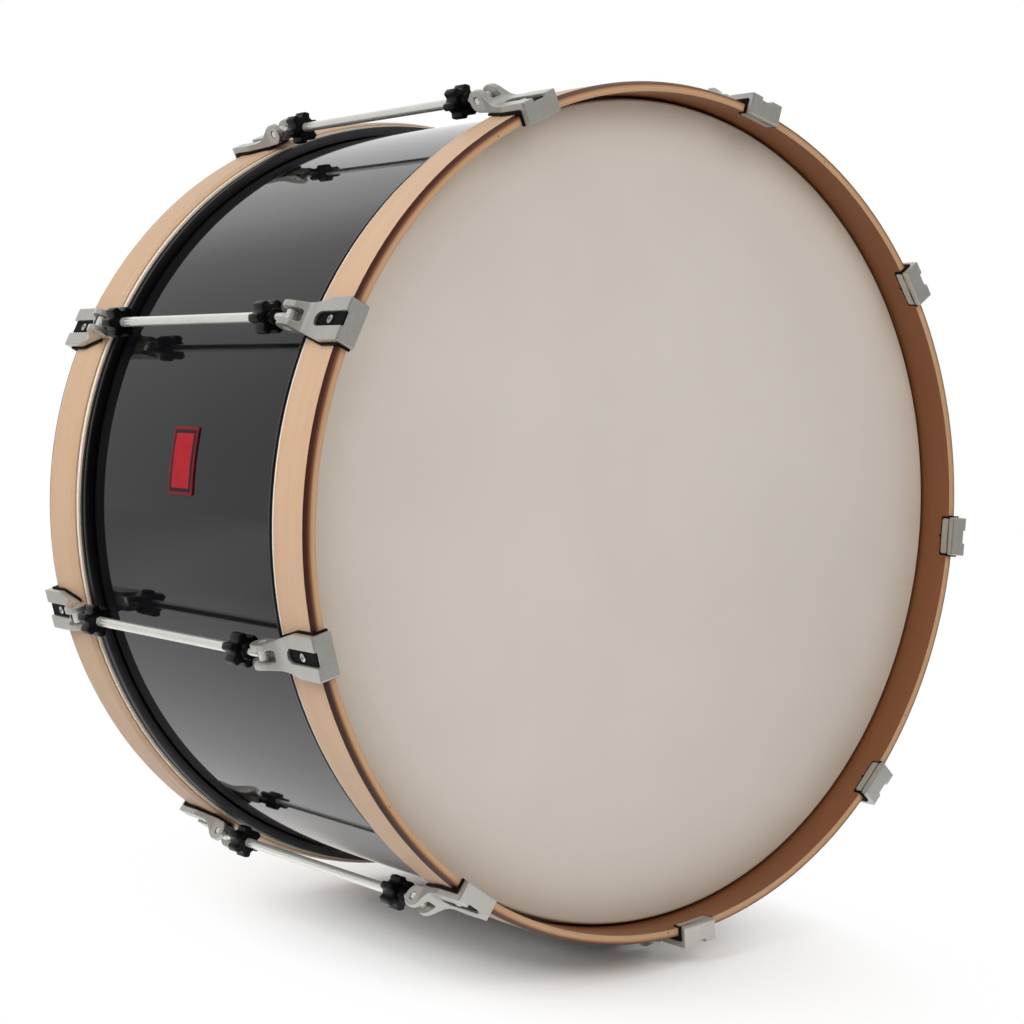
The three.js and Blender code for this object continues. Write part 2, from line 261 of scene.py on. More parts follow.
# Each metal: name, light and dark tone, roughness and its spread, metallic share,
# grain sizes round, along and across the drum, and the grain's strength and depth
METALS = {
    "flesh": ("flesh_hoop_metal", (96, 96, 98), (70, 70, 72), 0.34, 0.1, 1, (40, 0.3, 0.3), (0.1, 0.05)),
    "steel": ("rod_steel", (240, 239, 234), (220, 219, 213), 0.24, 0.1, 0.75, (0.8, 0.35, 0.8),
              (0.08, 0.03)),
    "claw": ("claw_metal", (204, 202, 196), (178, 176, 169), 0.3, 0.12, 0.8, (0.8, 0.8, 0.8), (0.5, 0.12)),
    "screw": ("screw_metal", (236, 236, 233), (214, 214, 210), 0.2, 0.1, 1, (1, 1, 1), (0.05, 0.03)),
    # brad: dark nail heads, whose dark tone is also painted shade standing for their nail holes
    "brad": ("brad_metal", (72, 58, 46), (44, 33, 25), 0.45, 0.1, 1, (1, 1, 1), (0.1, 0.05)),
    "eyelet": ("eyelet_metal", (226, 227, 225), (205, 206, 204), 0.18, 0.1, 1, (1, 1, 1), (0.04, 0.03)),
}
# Each plastic or enamel: name, light and dark tone, roughness, texture size, its strength and depth, IOR
PLASTICS = {
    "knob": ("knob_plastic", (7, 7, 8), (4, 4, 5), 0.34, 0.5, (0.15, 0.08), 1.32),
    "liner": ("claw_liner", (8, 7, 7), (4, 4, 4), 0.7, 0.8, (0.2, 0.1), 1.3),
    "badge_rim": ("badge_plate", (104, 22, 30), (92, 17, 24), 0.3, 2, (0.04, 0.03), 1.2),
    "badge_field": ("badge_field", (18, 14, 16), (12, 9, 11), 0.3, 2, (0.04, 0.03), 1.25),
    "badge_panel": ("badge_panel", (150, 22, 36), (136, 16, 28), 0.3, 2, (0.04, 0.03), 1.2),
}

# Camera, metres from the middle of the front hoop's outer face, and lens for a 36 mm sensor
CAMERA_OFFSET = (-1.152205, -1.271665, 0.118952)
CAMERA_RIGHT = (0.78875, -0.61471, 0.0)
CAMERA_UP = (0.04121, 0.05288, 0.99775)
CAMERA_LENS = 75.40
SENSOR_WIDTH = 36

# Floor and lights, metres and watts
FLOOR_SIZE = 12
FLOOR_TONE = (238, 236, 234)
FLOOR_LIT_TONE = (248, 247, 246)
# Where the floor starts and ends passing into white, and into the world's levels in mirrors
FLOOR_NEAR = 0.08
FLOOR_FAR = 0.24
FLOOR_STRETCH = (1, 0.5, 0)
MIRRORED_NEAR = 0.45
MIRRORED_FAR = 1.35
# The level way in which the camera looks, and the world's strength as plain light
BACKGROUND_WAY = (0.61, 0.79, 0)
WORLD_DIFFUSE = 0.25
# The mirrored world's level from behind the camera (0) to the background ahead of it (1)
WORLD_LEVELS = (
    (0.12, 0.1), (0.3, 0.52), (0.36, 0.52), (0.47, 0.2), (0.59, 0.62), (0.64, 0.66), (0.68, 0.5),
    (0.69, 0.51), (0.73, 0.6), (0.82, 0.68), (0.87, 1.0))
LAMP_DISTANCE = 2.4
LAMP_SIZE = 1.4
# Each lamp: name, degrees round from +X towards +Y, degrees up, power
LAMPS = (
    ("right_lamp", 0, 5, 42),
    ("right_rear_lamp", 30, 5, 16),
    ("rear_lamp", 90, 5, 14),
    ("left_rear_lamp", 150, 35, 10),
    ("left_lamp", 180, 35, 40),
    ("left_front_lamp", 210, 35, 13),
    ("front_lamp", 270, 35, 21.5),
)

# Radii and depths that follow from the sizes above
COLLAR_INNER = SHELL_RADIUS + COLLAR_CLEARANCE
COLLAR_OUTER = COLLAR_INNER + FILM_THICKNESS
HOOP_INNER = COLLAR_OUTER + HOOP_SLACK
HOOP_OUTER = HOOP_INNER + HOOP_WALL
ROD_RADIUS = HOOP_OUTER + ROD_OFFSET
PIN_DEPTH = HOOP_WIDTH + PIN_SETBACK
KNOB_DEPTH = PIN_DEPTH + KNOB_SETBACK
FILM_BACK_DEPTH = HEAD_DEPTH + FILM_THICKNESS
HALF_SHELL = OVERALL_WIDTH / 2 - FILM_BACK_DEPTH - FIT_GAP
FLESH_DEPTH = HOOP_WIDTH + FIT_GAP + FLANGE_THICKNESS + FIT_GAP
PLATE_TOP = HOOP_OUTER + PLATE_HEIGHT
LINER_TOP = HOOP_OUTER + FIT_GAP + LINER_THICKNESS
LIP_INNER = HOOP_INNER - LIP_REACH
LIP_FRONT = -LIP_THICKNESS - FIT_GAP
LIP_BACK = -FIT_GAP - LIP_LINER


def drum_axis():
    """Point on the drum's axis in metres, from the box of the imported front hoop."""
    low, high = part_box("hoop_front")
    return Vector(((low.x + high.x) / 2, 0, (low.z + high.z) / 2))


AXIS = drum_axis()


def rod_angle(index):
    return FIRST_ROD_DEG + 360 / ROD_COUNT * (index + ROD_SLIP_SHARES[index])


def carried(end="front", degrees=0.0):
    """Matrix from a fitting's (across, depth, radius) at the front hoop's top to its place in metres."""
    turn = Matrix.Rotation(math.radians(degrees), 4, "Y")
    flip = Matrix.Rotation(math.pi if end == "rear" else 0, 4, "Z")
    shift = Matrix.Translation((0, -OVERALL_WIDTH / 2, 0))
    return Matrix.Translation(AXIS) @ Matrix.Scale(MM, 4) @ turn @ flip @ shift


# Outlines


def rounded(corners, steps=CORNER_STEPS):
    """Closed outline of (x, y) whose corners, given as (x, y, radius), are filleted."""
    outline = []
    for i, (x, y, radius) in enumerate(corners):
        if not radius:
            outline.append((x, y))
            continue
        here = Vector((x, y))
        back = (Vector(corners[i - 1][:2]) - here).normalized()
        ahead = (Vector(corners[(i + 1) % len(corners)][:2]) - here).normalized()
        half = back.angle(ahead) / 2
        centre = here + (back + ahead).normalized() * (radius / math.sin(half))
        spoke = here + back * (radius / math.tan(half)) - centre
        last = here + ahead * (radius / math.tan(half)) - centre
        sweep = math.atan2(spoke.cross(last), spoke.dot(last))
        for step in range(steps + 1):
            angle = sweep * step / steps
            turned = Matrix.Rotation(angle, 2) @ spoke
            outline.append(tuple(centre + turned))
    return outline


def oval_arc(centre, radii, from_deg, to_deg, steps):
    """Points of an ellipse's arc."""
    points = []
    for step in range(steps + 1):
        angle = math.radians(from_deg + (to_deg - from_deg) * step / steps)
        points.append((centre[0] + radii[0] * math.cos(angle), centre[1] + radii[1] * math.sin(angle)))
    return points


def inset(outline, distance):
    """Anticlockwise outline moved inwards by a distance."""
    moved = []
    for i, (x, y) in enumerate(outline):
        way = Vector(outline[(i + 1) % len(outline)]) - Vector(outline[i - 1])
        normal = Vector((-way.y, way.x)).normalized()
        moved.append((x + normal.x * distance, y + normal.y * distance))
    return moved


# Meshes


def loft(rings, wrap=False):
    """Mesh over rings of equally many points. wrap joins last to first, else both ends are closed."""
    count = len(rings[0])
    points = [point for ring in rings for point in ring]
    faces = []
    for i in range(len(rings) if wrap else len(rings) - 1):
        first = i * count
        second = (i + 1) % len(rings) * count
        for k in range(count):
            j = (k + 1) % count
            faces.append((first + k, first + j, second + j, second + k))
    if not wrap:
        faces.append(tuple(reversed(range(count))))
        faces.append(tuple(range(len(points) - count, len(points))))
    mesh = bpy.data.meshes.new("loft")
    mesh.from_pydata(points, [], faces)
    return tidied(mesh)


def smoothed(mesh):
    """Smooths all but sharp edges."""
    mesh.shade_smooth()
    mesh.set_sharp_from_angle(angle=math.radians(SMOOTH_DEG))
    return mesh


def tidied(mesh):
    """Merges doubled points, faces everything outwards and smooths all but sharp edges."""
    bm = bmesh.new()
    bm.from_mesh(mesh)
    bmesh.ops.remove_doubles(bm, verts=bm.verts, dist=MERGE_DISTANCE)
    bmesh.ops.recalc_face_normals(bm, faces=bm.faces)
    bm.to_mesh(mesh)
    bm.free()
    return smoothed(mesh)


def turned(outline, segments=RING_SEGMENTS):
    """Closed outline of (radius, along) turned about the Y axis."""
    rings = []
    for radius, along in outline:
        turn = [2 * math.pi * k / segments for k in range(segments)]
        rings.append([(radius * math.sin(a), along, radius * math.cos(a)) for a in turn])
    return loft(rings, wrap=True)


def prism(outline, low, high, to_point):
    """Outline swept from low to high; to_point turns (a, b, height) into a point."""
    rings = [[to_point(a, b, height) for a, b in outline] for height in (low, high)]
    return loft(rings)


def across(depth, radius, x):
    return (x, depth, radius)


def upward(x, depth, radius):
    return (x, depth, radius)


def merged(*meshes):
    """One mesh from several, each left as it is."""
    bm = bmesh.new()
    for mesh in meshes:
        bm.from_mesh(mesh)
    whole = bpy.data.meshes.new("merged")
    bm.to_mesh(whole)
    bm.free()
    return smoothed(whole)


def added(name, data):
    """A new object in the scene."""
    obj = bpy.data.objects.new(name, data)
    bpy.context.scene.collection.objects.link(obj)
    return obj


def carved(base, jobs, finish=None):
    """Mesh left of base after boolean jobs of (operation, tool) and the modifiers that finish adds."""
    body = added("temporary", base)
    tools = []
    for operation, mesh in jobs:
        tool = added("temporary", mesh)
        tools.append(tool)
        cut = body.modifiers.new("cut", "BOOLEAN")
        cut.operation = operation
        cut.solver = "EXACT"
        cut.object = tool
    if finish:
        finish(body)
    graph = bpy.context.evaluated_depsgraph_get()
    graph.update()
    done = body.evaluated_get(graph)
    result = bpy.data.meshes.new_from_object(done, preserve_all_data_layers=True, depsgraph=graph)
    for obj in [body, *tools]:
        bpy.data.objects.remove(obj)
    return result


def shown(name, mesh, matrix, body, look, nodes=()):
    """Adds a piece of the object: its mesh in place, riding on a body, standing for CAD nodes."""
    placed = mesh.copy()
    placed.name = name
    placed.transform(matrix)
    placed.materials.clear()
    placed.materials.append(look)
    obj = added(name, placed)
    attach(obj, body)
    if nodes:
        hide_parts(*nodes)


# Materials


def new_look(name):
    """A material with an empty node tree."""
    look = bpy.data.materials.new(name)
    look.use_nodes = True
    look.node_tree.nodes.clear()
    return look


def node(tree, kind, inputs=None, **settings):
    """Adds a node; inputs holds a value or another node's socket for each socket name or number."""
    made = tree.nodes.new("ShaderNode" + kind)
    for key, value in settings.items():
        setattr(made, key, value)
    for key, value in (inputs or {}).items():
        if isinstance(value, bpy.types.NodeSocket):
            tree.links.new(value, made.inputs[key])
        else:
            made.inputs[key].default_value = value
    return made


def maths(tree, operation, first, second=0.0):
    return node(tree, "Math", {0: first, 1: second}, operation=operation).outputs[0]


def weighted(tree, first, first_weight, second, second_weight):
    """Sum of two values, each times its weight."""
    return maths(tree, "ADD", maths(tree, "MULTIPLY", first, first_weight),
                 maths(tree, "MULTIPLY", second, second_weight))


def linear(red, green, blue):
    """Scene colour of a colour given in screen values from 0 to 255."""
    shares = [value / 255 for value in (red, green, blue)]
    return tuple(s / 12.92 if s <= 0.04045 else ((s + 0.055) / 1.055) ** 2.4 for s in shares) + (1.0,)


def place(tree):
    """The point in millimetres from the drum's axis."""
    coordinates = node(tree, "TexCoord").outputs["Object"]
    centred = node(tree, "VectorMath", {0: coordinates, 1: tuple(AXIS)}, operation="SUBTRACT").outputs[0]
    return node(tree, "VectorMath", {0: centred, 1: (1 / MM,) * 3}, operation="MULTIPLY").outputs[0]


def round_place(tree):
    """(way round the hoop, along, radius) in millimetres, with the seam behind the lowest claw."""
    x, y, z = node(tree, "SeparateXYZ", {0: place(tree)}).outputs
    seam = math.radians(rod_angle(SEAM_ROD))
    back_x = weighted(tree, x, -math.cos(seam), z, math.sin(seam))
    back_z = weighted(tree, x, -math.sin(seam), z, -math.cos(seam))
    angle = maths(tree, "ARCTAN2", back_x, back_z)
    squares = maths(tree, "ADD", maths(tree, "POWER", x, 2.0), maths(tree, "POWER", z, 2.0))
    return maths(tree, "MULTIPLY", angle, HOOP_OUTER), y, maths(tree, "SQRT", squares)


def stretched(tree, parts, sizes):
    """Vector of three values, each divided by the size of its pattern."""
    divided = [maths(tree, "DIVIDE", part, float(size)) for part, size in zip(parts, sizes)]
    return node(tree, "CombineXYZ", {0: divided[0], 1: divided[1], 2: divided[2]}).outputs[0]


def noise(tree, vector, scale=1.0, detail=3.0, roughness=0.55):
    inputs = {"Vector": vector, "Scale": scale, "Detail": detail, "Roughness": roughness}
    return node(tree, "TexNoise", inputs).outputs["Fac"]


def ramp(tree, value, stops):
    """Colour ramp; stops holds (place, colour or grey)."""
    made = node(tree, "ValToRGB", {0: value})
    elements = made.color_ramp.elements
    while len(elements) < len(stops):
        elements.new(0.5)
    for element, (position, colour) in zip(elements, stops):
        element.position = position
        element.color = colour if isinstance(colour, tuple) else (colour, colour, colour, 1)
    return made.outputs[0]


def toned(tree, value, light, dark, places=TONE_RANGE):
    """Colour from dark to light, given in screen values, as a value passes between two places."""
    return ramp(tree, value, ((places[0], linear(*dark)), (places[1], linear(*light))))


def blended(tree, mode, factor, first, second):
    """One colour mixed with another, or multiplied by it."""
    made = node(tree, "Mix", data_type="RGBA", blend_type=mode)
    for key, kind, value in (("Factor", "VALUE", factor), ("A", "RGBA", first), ("B", "RGBA", second)):
        socket = next(s for s in made.inputs if s.name == key and s.type == kind)
        if isinstance(value, bpy.types.NodeSocket):
            tree.links.new(value, socket)
        else:
            socket.default_value = value
    return next(s for s in made.outputs if s.type == "RGBA")


def bump(tree, height, strength, depth):
    inputs = {"Height": height, "Strength": strength, "Distance": depth * MM}
    return node(tree, "Bump", inputs).outputs[0]


def roughened(tree, value, spread, start):
    """Roughness that starts at one value and rises by a spread."""
    return maths(tree, "ADD", maths(tree, "MULTIPLY", value, spread), start)


def principled(tree, inputs):
    surface = node(tree, "BsdfPrincipled", inputs)
    node(tree, "OutputMaterial", {"Surface": surface.outputs[0]})


def lacquer_look():
    """Black high-gloss lacquer with a trace of orange peel and fine dust haze."""
    look = new_look("shell_lacquer")
    tree = look.node_tree
    point = place(tree)
    haze = noise(tree, point, LACQUER_HAZE)
    peel = noise(tree, point, *LACQUER_PEEL)
    principled(tree, {
        "Base Color": toned(tree, haze, *LACQUER_TONES),
        "Roughness": roughened(tree, haze, LACQUER_ROUGHNESS, LACQUER_ROUGHNESS),
        "IOR": LACQUER_IOR,
        "Normal": bump(tree, peel, *LACQUER_BUMP),
    })
    return look


def painted_edge_shade(tree, along, radius):
    """Painted shade on a hoop's inner wall and on its sloped outer edge and end, alike all round, as a
    colour to multiply by.
    """
    depth = maths(tree, "SUBTRACT", OVERALL_WIDTH / 2, maths(tree, "ABSOLUTE", along))
    inward = maths(tree, "DIVIDE", maths(tree, "SUBTRACT", HOOP_OUTER, radius), HOOP_WALL)
    end_shade = ramp(tree, inward, EDGE_SHADE_TONES)
    at_end = maths(tree, "LESS_THAN", depth, HOOP_EDGE_ALONG - HOOP_CREASE / 2)
    inside = maths(tree, "GREATER_THAN", inward, 1 - HOOP_EASING / HOOP_WALL / 2)
    # the inner wall gets painted shade, darker and redder than the wood
    at_wall = maths(tree, "MULTIPLY", inside, maths(tree, "GREATER_THAN", depth, HOOP_EASING / 2))
    tint = blended(tree, "MIX", at_end, SIDE_TONE, end_shade)
    return blended(tree, "MIX", at_wall, tint, WALL_SHADE)


def ply_tones(tree, radius):
    """Tone of each ply of a bent hoop, and of its glue line, which lies off the hoop's faces."""
    inward = maths(tree, "DIVIDE", maths(tree, "SUBTRACT", radius, HOOP_INNER), HOOP_WALL / PLY_COUNT)
    plies = maths(tree, "ADD", inward, PLY_SHIFT)
    layer = maths(tree, "FLOOR", plies)
    tone = node(tree, "TexWhiteNoise", {"W": layer}, noise_dimensions="1D").outputs["Value"]
    return ramp(tree, tone, PLY_LEVELS), ramp(tree, maths(tree, "FRACT", plies), GLUE_LEVELS)


def wood_look(name, light, dark, roughness, edges):
    """Lacquered or bare wood bent along the grain: long streaks, finer flecks and thin plies."""
    look = new_look(name)
    tree = look.node_tree
    parts = round_place(tree)
    broad = noise(tree, stretched(tree, parts, BROAD_GRAIN))
    streak = noise(tree, stretched(tree, parts, STREAK_GRAIN), *STREAK_NOISE)
    fleck = noise(tree, stretched(tree, parts, FLECK_GRAIN), *FLECK_NOISE)
    grain = weighted(tree, broad, 1 - STREAK_SHARE, streak, STREAK_SHARE)
    tones, glue = ply_tones(tree, parts[2])
    wood = toned(tree, grain, light, dark, WOOD_RANGE)
    wood = blended(tree, "MULTIPLY", FLECK_STRENGTH, wood, ramp(tree, fleck, FLECK_LEVELS))
    wood = blended(tree, "MULTIPLY", PLY_STRENGTH, wood, tones)
    wood = blended(tree, "MULTIPLY", GLUE_STRENGTH, wood, glue)
    if edges:
        # painted shade on the hoop's sloped edge and inner wall
        wood = blended(tree, "MULTIPLY", 1.0, wood, painted_edge_shade(tree, *parts[1:]))
    principled(tree, {
        "Base Color": wood,
        "Roughness": roughened(tree, streak, WOOD_SPREAD, roughness),
        "IOR": WOOD_IOR,
        "Normal": bump(tree, streak, *WOOD_BUMP),
    })
    return look


def film_look():
    """Coated white film, faintly mottled, with a fine spray texture and painted shade towards its rim."""
    look = new_look("head_film")
    tree = look.node_tree
    point = place(tree)
    cloud = noise(tree, point, FILM_CLOUD)
    spray = noise(tree, point, FILM_SPRAY)
    outward = maths(tree, "DIVIDE", round_place(tree)[2], HOOP_INNER)
    # painted shade near the hoop, warmed like light bounced off the maple
    rim = ramp(tree, outward, ((FILM_SHADE_START, (1, 1, 1, 1)), (1, FILM_RIM_SHADE)))
    principled(tree, {
        "Base Color": blended(tree, "MULTIPLY", 1.0, toned(tree, cloud, *FILM_TONES), rim),
        "Roughness": roughened(tree, spray, FILM_SPREAD, FILM_ROUGHNESS),
        "IOR": FILM_IOR,
        "Normal": bump(tree, spray, *FILM_BUMP),
    })
    return look


def metal_look(name, light, dark, roughness, spread, metallic, grain_sizes, relief):
    """Metal with a grain of given sizes round, along and across the drum."""
    look = new_look(name)
    tree = look.node_tree
    grain = noise(tree, stretched(tree, round_place(tree), grain_sizes), *METAL_NOISE)
    cloud = noise(tree, place(tree), METAL_CLOUD)
    mixed = weighted(tree, grain, METAL_GRAIN_SHARE, cloud, 1 - METAL_GRAIN_SHARE)
    principled(tree, {
        "Base Color": toned(tree, mixed, light, dark),
        "Metallic": metallic,
        "Roughness": roughened(tree, mixed, spread, roughness - spread / 2),
        "Normal": bump(tree, grain, *relief),
    })
    return look


def plastic_look(name, light, dark, roughness, size, relief, ior):
    """Moulded plastic, rubber or enamel with a fine texture and slight changes of sheen."""
    look = new_look(name)
    tree = look.node_tree
    point = place(tree)
    grain = noise(tree, point, 1 / size, PLASTIC_DETAIL)
    cloud = noise(tree, point, PLASTIC_CLOUD)
    principled(tree, {
        "Base Color": toned(tree, cloud, light, dark),
        "Roughness": roughened(tree, cloud, PLASTIC_SPREAD, roughness - PLASTIC_SPREAD / 2),
        "IOR": ior,
        "Normal": bump(tree, grain, *relief),
    })
    return look


def facing_background(tree, way):
    """How far a direction looks towards the background, from 0 for away from it to 1."""
    toward = Vector(BACKGROUND_WAY).normalized()
    facing = node(tree, "VectorMath", {0: way, 1: tuple(toward)}, operation="DOT_PRODUCT").outputs["Value"]
    return maths(tree, "MULTIPLY", maths(tree, "ADD", facing, 1.0), 0.5)


def floor_look():
    """Pale floor round the drum, which passes into the plain white background."""
    look = new_look("floor")
    tree = look.node_tree
    point = node(tree, "TexCoord").outputs["Object"]
    scaled = node(tree, "VectorMath", {0: point, 1: FLOOR_STRETCH}, operation="MULTIPLY").outputs[0]
    away = node(tree, "VectorMath", {0: scaled}, operation="LENGTH").outputs["Value"]
    steps = ((FLOOR_NEAR / FLOOR_SIZE, 0.0), (FLOOR_FAR / FLOOR_SIZE, 1.0))
    fade = ramp(tree, maths(tree, "DIVIDE", away, FLOOR_SIZE), steps)
    matt = node(tree, "BsdfDiffuse", {"Color": linear(*FLOOR_LIT_TONE)})
    shown_matt = node(tree, "BsdfDiffuse", {"Color": linear(*FLOOR_TONE)})
    path = node(tree, "LightPath")
    distance = node(tree, "VectorMath", {0: point}, operation="LENGTH").outputs["Value"]
    bounds = ((MIRRORED_NEAR / FLOOR_SIZE, 1.0), (MIRRORED_FAR / FLOOR_SIZE, 0.0))
    nearness = ramp(tree, maths(tree, "DIVIDE", distance, FLOOR_SIZE), bounds)
    outward = node(tree, "VectorMath", {0: point}, operation="NORMALIZE").outputs[0]
    far_level = ramp(tree, facing_background(tree, outward), WORLD_LEVELS)
    lift = maths(tree, "MULTIPLY", nearness, maths(tree, "SUBTRACT", 1.0, far_level))
    level = maths(tree, "MAXIMUM", path.outputs["Is Camera Ray"], maths(tree, "ADD", far_level, lift))
    white = node(tree, "Emission", {"Color": (1, 1, 1, 1), "Strength": level})
    faded = node(tree, "MixShader", {0: fade, 1: shown_matt.outputs[0], 2: white.outputs[0]})
    seen = maths(tree, "MAXIMUM", path.outputs["Is Camera Ray"], path.outputs["Is Glossy Ray"])
    seen = maths(tree, "MAXIMUM", seen, path.outputs["Is Transmission Ray"])
    mix = node(tree, "MixShader", {0: seen, 1: matt.outputs[0], 2: faded.outputs[0]})
    node(tree, "OutputMaterial", {"Surface": mix.outputs[0]})
    return look


def make_looks():
    """Every material of the object by name."""
    looks = {"lacquer": lacquer_look(), "film": film_look()}
    for make, table in ((wood_look, WOODS), (metal_look, METALS), (plastic_look, PLASTICS)):
        for key, values in table.items():
            looks[key] = make(*values)
    return looks


# Shell, heads and hoops


def shell_mesh():
    """Shell with bearing edges and the hole for the air vent."""
    inner = SHELL_RADIUS - SHELL_WALL
    crest = SHELL_RADIUS - SHELL_WALL / 2
    flank = HALF_SHELL - EDGE_BEVEL
    tube = turned([(SHELL_RADIUS, -flank), (SHELL_RADIUS, flank), (crest, HALF_SHELL), (inner, flank),
                   (inner, -flank), (crest, -HALF_SHELL)])
    circle = oval_arc((0, 0), (VENT_RADIUS + VENT_WALL + FIT_GAP,) * 2, 0, 360, ROUND_SEGMENTS)[:-1]
    hole = prism(circle, inner - CUT_OVERRUN, SHELL_RADIUS + CUT_OVERRUN, upward)
    hole.transform(Matrix.Rotation(math.radians(VENT_DEG), 4, "Y"))
    return smoothed(carved(tube, [("DIFFERENCE", hole)]))


def head_outline():
    """Film from the playing face over its shoulder to the flange, as (radius, depth)."""
    flange_front = HOOP_WIDTH + FIT_GAP
    flange_back = flange_front + FLANGE_THICKNESS
    flange_outer = HOOP_OUTER - FLANGE_SETBACK
    inner_shoulder = SHOULDER_RADIUS - FILM_THICKNESS
    return rounded([
        (0, HEAD_DEPTH, 0), (0, FILM_BACK_DEPTH, 0),
        (COLLAR_INNER, FILM_BACK_DEPTH, inner_shoulder), (COLLAR_INNER, flange_back, 0),
        (flange_outer, flange_back, FIT_GAP), (flange_outer, flange_front, FIT_GAP),
        (COLLAR_OUTER, flange_front, 0), (COLLAR_OUTER, HEAD_DEPTH, SHOULDER_RADIUS)])


def flesh_outline():
    """Metal ring that grips the film, with a groove round its outside, as (radius, depth)."""
    outer = HOOP_OUTER - FLESH_HOOP_SETBACK
    inner = outer - FLESH_HOOP_WALL
    start = FLESH_DEPTH
    finish = start + FLESH_HOOP_WIDTH
    third = FLESH_HOOP_WIDTH / 3
    floor = outer - FLESH_GROOVE
    ease = FLESH_GROOVE / 3
    return rounded([
        (outer, start, ease), (outer, start + third, ease), (floor, start + third, ease),
        (floor, finish - third, ease), (outer, finish - third, ease), (outer, finish, FLESH_HOOP_EASING),
        (inner, finish, ease), (inner, start, ease)])


def hoop_outline():
    """Wooden hoop with sloped outer edges and eased inner edges, as (radius, depth)."""
    slope_end = HOOP_OUTER - HOOP_EDGE_ACROSS
    return rounded([
        (HOOP_INNER, 0, HOOP_EASING), (slope_end, 0, HOOP_CREASE),
        (HOOP_OUTER, HOOP_EDGE_ALONG, HOOP_CREASE), (HOOP_OUTER, HOOP_WIDTH - HOOP_EDGE_ALONG, HOOP_CREASE),
        (slope_end, HOOP_WIDTH, HOOP_CREASE), (HOOP_INNER, HOOP_WIDTH, HOOP_EASING)])


def brads_mesh(chance):
    """Small nail heads in a hoop's outer face, at uneven steps round it: flush dark discs whose dark also
    stands for the painted shade of the nail holes.
    """
    heads = []
    for i in range(BRAD_COUNT):
        circle = oval_arc((0, 0), (BRAD_RADIUS,) * 2, 0, 360, SMALL_SEGMENTS)[:-1]
        radius = HOOP_INNER + BRAD_INSET + chance.uniform(-BRAD_RADIUS, BRAD_RADIUS)
        disc = prism(circle, -BRAD_HEIGHT, BRAD_HEIGHT, lambda a, b, height: (a, height, radius + b))
        degrees = 360 * (i + chance.uniform(*BRAD_STEP_SHARES)) / BRAD_COUNT
        disc.transform(Matrix.Rotation(math.radians(degrees), 4, "Y"))
        heads.append(disc)
    return merged(*heads)


def make_rings(looks):
    """Shell, heads, flesh hoops, wooden hoops and their nails."""
    middle = carried() @ Matrix.Translation((0, OVERALL_WIDTH / 2, 0))
    shown("drum_shell", shell_mesh(), middle, "drum", looks["lacquer"], ["shell"])
    head, flesh, hoop = turned(head_outline()), turned(flesh_outline()), turned(hoop_outline())
    chance = random.Random(BRAD_SEED)
    for end in ENDS:
        at = carried(end)
        shown("film_" + end, head, at, "drum", looks["film"], ["head_" + end])
        shown("flesh_ring_" + end, flesh, at, "drum", looks["flesh"],
              ["flesh_hoop_" + end])
        shown("maple_hoop_" + end, hoop, at, "drum", looks["maple"], ["hoop_" + end])
        shown("hoop_brads_and_hole_shade_" + end, brads_mesh(chance), at, "drum", looks["brad"])


# Tension rods


def bar_mesh():
    """Bright bar between two knobs, centred on the drum's middle."""
    half = OVERALL_WIDTH / 2 - KNOB_DEPTH - KNOB_THICKNESS / 2 - FIT_GAP
    outline = [(0, -half), (BAR_RADIUS - BAR_CHAMFER, -half), (BAR_RADIUS, BAR_CHAMFER - half),
               (BAR_RADIUS, half - BAR_CHAMFER), (BAR_RADIUS - BAR_CHAMFER, half), (0, half)]
    return turned(outline, ROUND_SEGMENTS)


def stud_mesh():
    """Threaded stud from the cross pin into the knob, as a thread cut along a helix."""
    start = PIN_DEPTH + BARREL_RADIUS - THREAD_PITCH
    finish = KNOB_DEPTH + KNOB_THICKNESS / 2 + THREAD_PITCH
    rows = round((finish - start) / THREAD_PITCH * THREAD_STEPS)
    rings = []
    for row in range(rows + 1):
        depth = start + THREAD_PITCH * row / THREAD_STEPS
        ring = []
        for k in range(SMALL_SEGMENTS):
            share = k / SMALL_SEGMENTS
            wave = abs((row / THREAD_STEPS - share) % 1 * 2 - 1)
            radius = STUD_RADIUS - THREAD_DEPTH * wave
            angle = 2 * math.pi * share
            ring.append((radius * math.sin(angle), depth, radius * math.cos(angle)))
        rings.append(ring)
    return loft(rings)


def pin_mesh():
    """Cross pin with its thicker barrel between the claw's ears, about the X axis through its middle."""
    half = EAR_GAP / 2 + EAR_THICKNESS - PIN_RECESS
    barrel = EAR_GAP / 2 - BARREL_GAP
    side = [(0, half), (PIN_RADIUS - PIN_CHAMFER, half), (PIN_RADIUS, half - PIN_CHAMFER),
            (PIN_RADIUS, barrel), (BARREL_RADIUS - PIN_CHAMFER, barrel),
            (BARREL_RADIUS, barrel - PIN_CHAMFER)]
    outline = side + [(radius, -along) for radius, along in reversed(side)]
    mesh = turned(outline, ROUND_SEGMENTS)
    mesh.transform(Matrix.Rotation(math.pi / 2, 4, "Z"))
    return mesh


def make_rods(looks):
    """Bars, and a stud with its cross pin at each end of each."""
    bar, stud, pin = bar_mesh(), stud_mesh(), pin_mesh()
    middle = Matrix.Translation((0, OVERALL_WIDTH / 2, ROD_RADIUS))
    stud_at = Matrix.Translation((0, 0, ROD_RADIUS))
    pin_at = Matrix.Translation((0, PIN_DEPTH, ROD_RADIUS))
    steel = looks["steel"]
    for i in range(ROD_COUNT):
        number = str(i + 1)
        rod = ["rod_" + number]
        at = carried("front", rod_angle(i))
        shown("rod_bar_" + number, bar, at @ middle, "drum", steel, rod)
        for end in ENDS:
            at = carried(end, rod_angle(i))
            label = end + "_" + number
            shown("stud_" + label, stud, at @ stud_at, "drum", steel, rod)
            shown("cross_pin_" + label, pin, at @ pin_at, "drum", steel, rod)


# Claws


